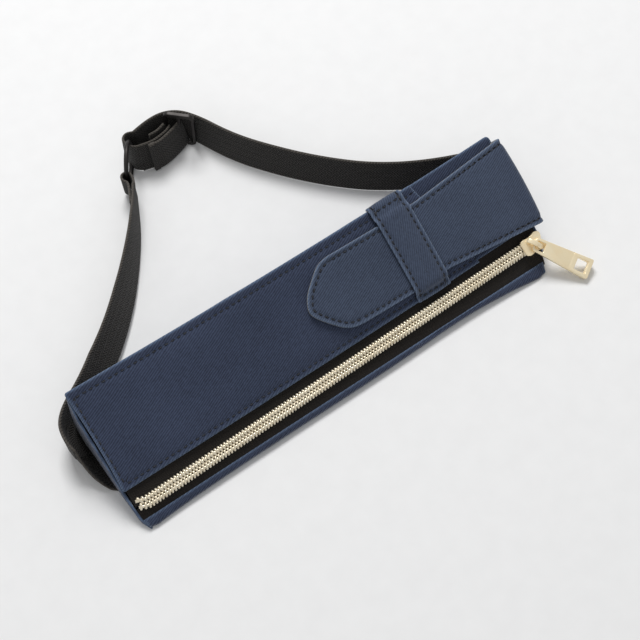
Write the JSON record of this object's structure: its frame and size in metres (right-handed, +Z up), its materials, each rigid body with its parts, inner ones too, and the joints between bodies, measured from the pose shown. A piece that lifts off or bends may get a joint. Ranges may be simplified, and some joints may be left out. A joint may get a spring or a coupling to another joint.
{
  "type": "zipped brush and pen case",
  "caption": "Wedge-shaped zipped fabric case for brushes and pens, with a flap-closed sleeve on its sloping top and an adjustable elastic band.",
  "frame": {"origin": "middle of the base's flat underside", "axes": "+X along the case towards the end where the zip closes, +Y towards the tall back wall and the elastic band, +Z up"},
  "size_m": [0.2151, 0.1595, 0.0348],
  "materials": {
    "navy_twill": "woven cotton twill, matt",
    "navy_lining": "plain woven lining, matt",
    "black_tape": "woven zip tape, matt",
    "black_elastic": "ribbed woven elastic, matt",
    "board": "fibreboard, matt",
    "gilt_coil": "metallised coil, satin",
    "gilt_metal": "pale gold plate, polished",
    "dark_metal": "black plated, satin"
  },
  "bodies": {
    "case": {"bottom_panel": "navy_twill", "base_board": "board", "band_tab_left": "black_elastic", "band_tab_right": "black_elastic", "back_panel": "navy_twill", "front_strip": "navy_twill", "left_end_panel": "navy_twill", "right_end_panel": "navy_twill", "left_seam_binding": "black_tape", "right_seam_binding": "black_tape", "sleeve_back_layer": "navy_twill", "sleeve_near_hem": "navy_twill", "sleeve_far_hem": "navy_twill", "sleeve_end_hem": "navy_twill", "sleeve_front_panel": "navy_twill", "zip_tape_lower": "black_tape", "zip_tape_upper": "black_tape", "zip_coil_lower": "gilt_coil", "zip_coil_upper": "gilt_coil", "flap_fold": "navy_twill", "keeper_loop": "navy_twill", "band_right": "black_elastic", "band_left": "black_elastic", "band_return": "black_elastic", "band_tail": "black_elastic"},
    "slider": {"slider_body": "gilt_metal", "slider_crown": "gilt_metal"},
    "puller": {"puller": "gilt_metal"},
    "flap_root": {"flap_root_lining": "navy_lining", "flap_root_cloth": "navy_twill"},
    "flap_bow": {"flap_bow_lining": "navy_lining", "flap_bow_cloth": "navy_twill"},
    "flap_tongue": {"tongue_lining": "navy_lining", "tongue_cloth": "navy_twill"},
    "ring": {"ring": "dark_metal"},
    "adjuster": {"adjuster": "dark_metal"}
  },
  "joints": [
    {"name": "zip_slide", "type": "slide", "parent": "case", "child": "slider", "axis": [0.9998, 0.0156, 0.0096], "range_m": [-0.18, 0]},
    {"name": "puller_lift", "type": "hinge", "parent": "slider", "child": "puller", "pos_m": [0.09229, -0.01574, 0.01147], "axis": [-0.8187, -0.4897, -0.3001], "range_deg": [0, 95]},
    {"name": "flap_lift", "type": "hinge", "parent": "case", "child": "flap_root", "pos_m": [0.099, 0.00527, 0.02381], "axis": [0, 0.8526, 0.5225], "range_deg": [0, 75]},
    {"name": "flap_bend", "type": "hinge", "parent": "flap_root", "child": "flap_bow", "pos_m": [0.078, 0.006, 0.02262], "axis": [0, 0.8526, 0.5225], "range_deg": [-150, 0]},
    {"name": "tongue_bend", "type": "hinge", "parent": "flap_bow", "child": "flap_tongue", "pos_m": [0.057, 0.00527, 0.02381], "axis": [0, 0.8526, 0.5225], "range_deg": [0, 75]},
    {"name": "ring_swing", "type": "hinge", "parent": "case", "child": "ring", "pos_m": [-0.0185, 0.1125, 0.0095], "axis": [0, 0, 1], "range_deg": [-10, 10]},
    {"name": "adjuster_slide", "type": "slide", "parent": "case", "child": "adjuster", "axis": [0.3659, -0.9307, 0], "range_m": [0, 0.01], "deforming": ["band_return", "band_tail", "band_right"]}
  ],
  "couplings": [
    {"joint": "flap_bend", "follows": "flap_lift", "ratio": -2},
    {"joint": "tongue_bend", "follows": "flap_lift", "ratio": 1}
  ]
}
